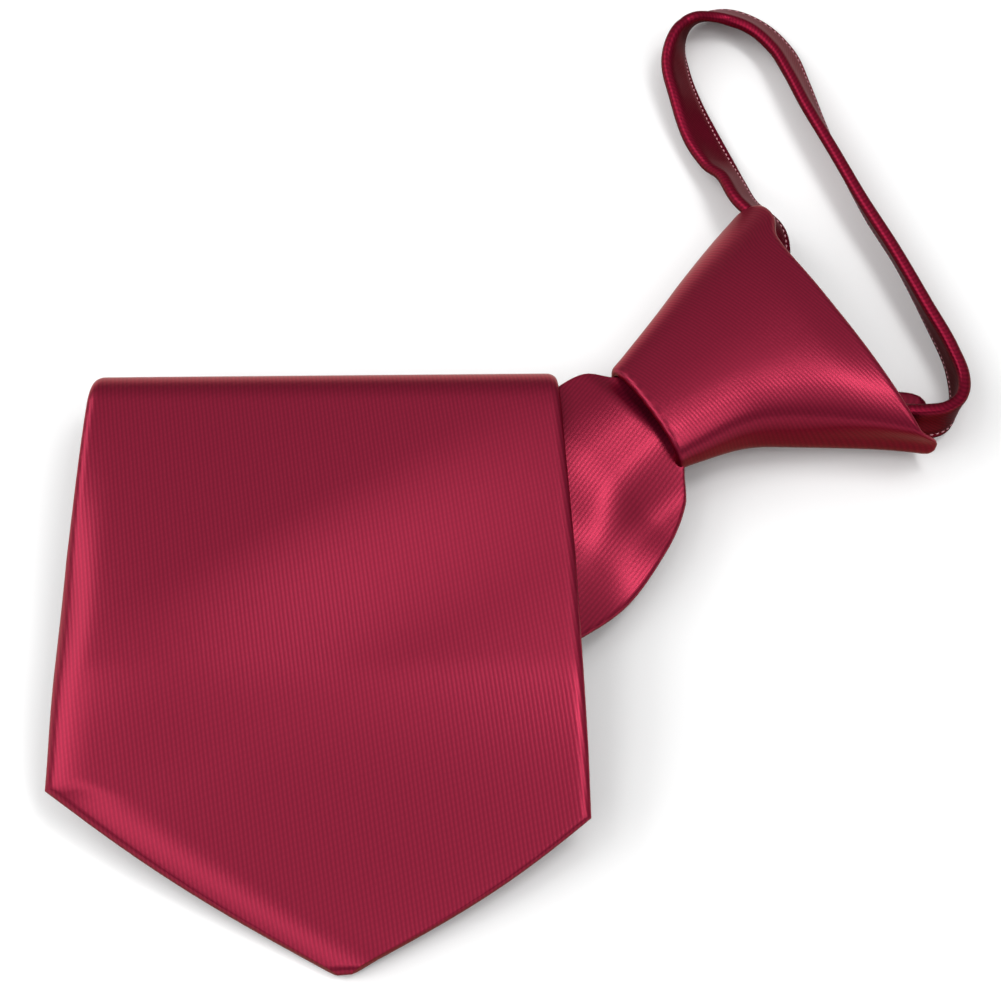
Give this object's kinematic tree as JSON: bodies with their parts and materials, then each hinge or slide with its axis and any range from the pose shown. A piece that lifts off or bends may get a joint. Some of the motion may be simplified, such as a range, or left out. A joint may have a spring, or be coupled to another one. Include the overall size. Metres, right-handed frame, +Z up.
{
  "type": "zipper tie",
  "caption": "Pre-tied satin zipper necktie lying folded, with a wide pointed blade, a triangular knot and a stitched neck strap loop.",
  "frame": {"origin": "centre of the bounding box at the height of the surface it lies on", "axes": "+Z up, -Y towards the viewer of the point, +X to the side of the knot and the neck loop"},
  "size_m": [0.1586, 0.2018, 0.0198],
  "materials": {
    "blade_satin": "glossy dark red polyester satin with fine lengthwise ribs",
    "knot_satin": "glossy dark red polyester satin, ribs across the knot",
    "strap_satin": "glossy dark red satin band with one row of stitches",
    "zipper_tape": "woven tape with a moulded coil chain in the same dark red"
  },
  "bodies": {
    "root": {"blade": "blade_satin", "knot_wrap": "knot_satin", "neck_strap": "strap_satin", "zipper": "zipper_tape"}
  },
  "joints": []
}
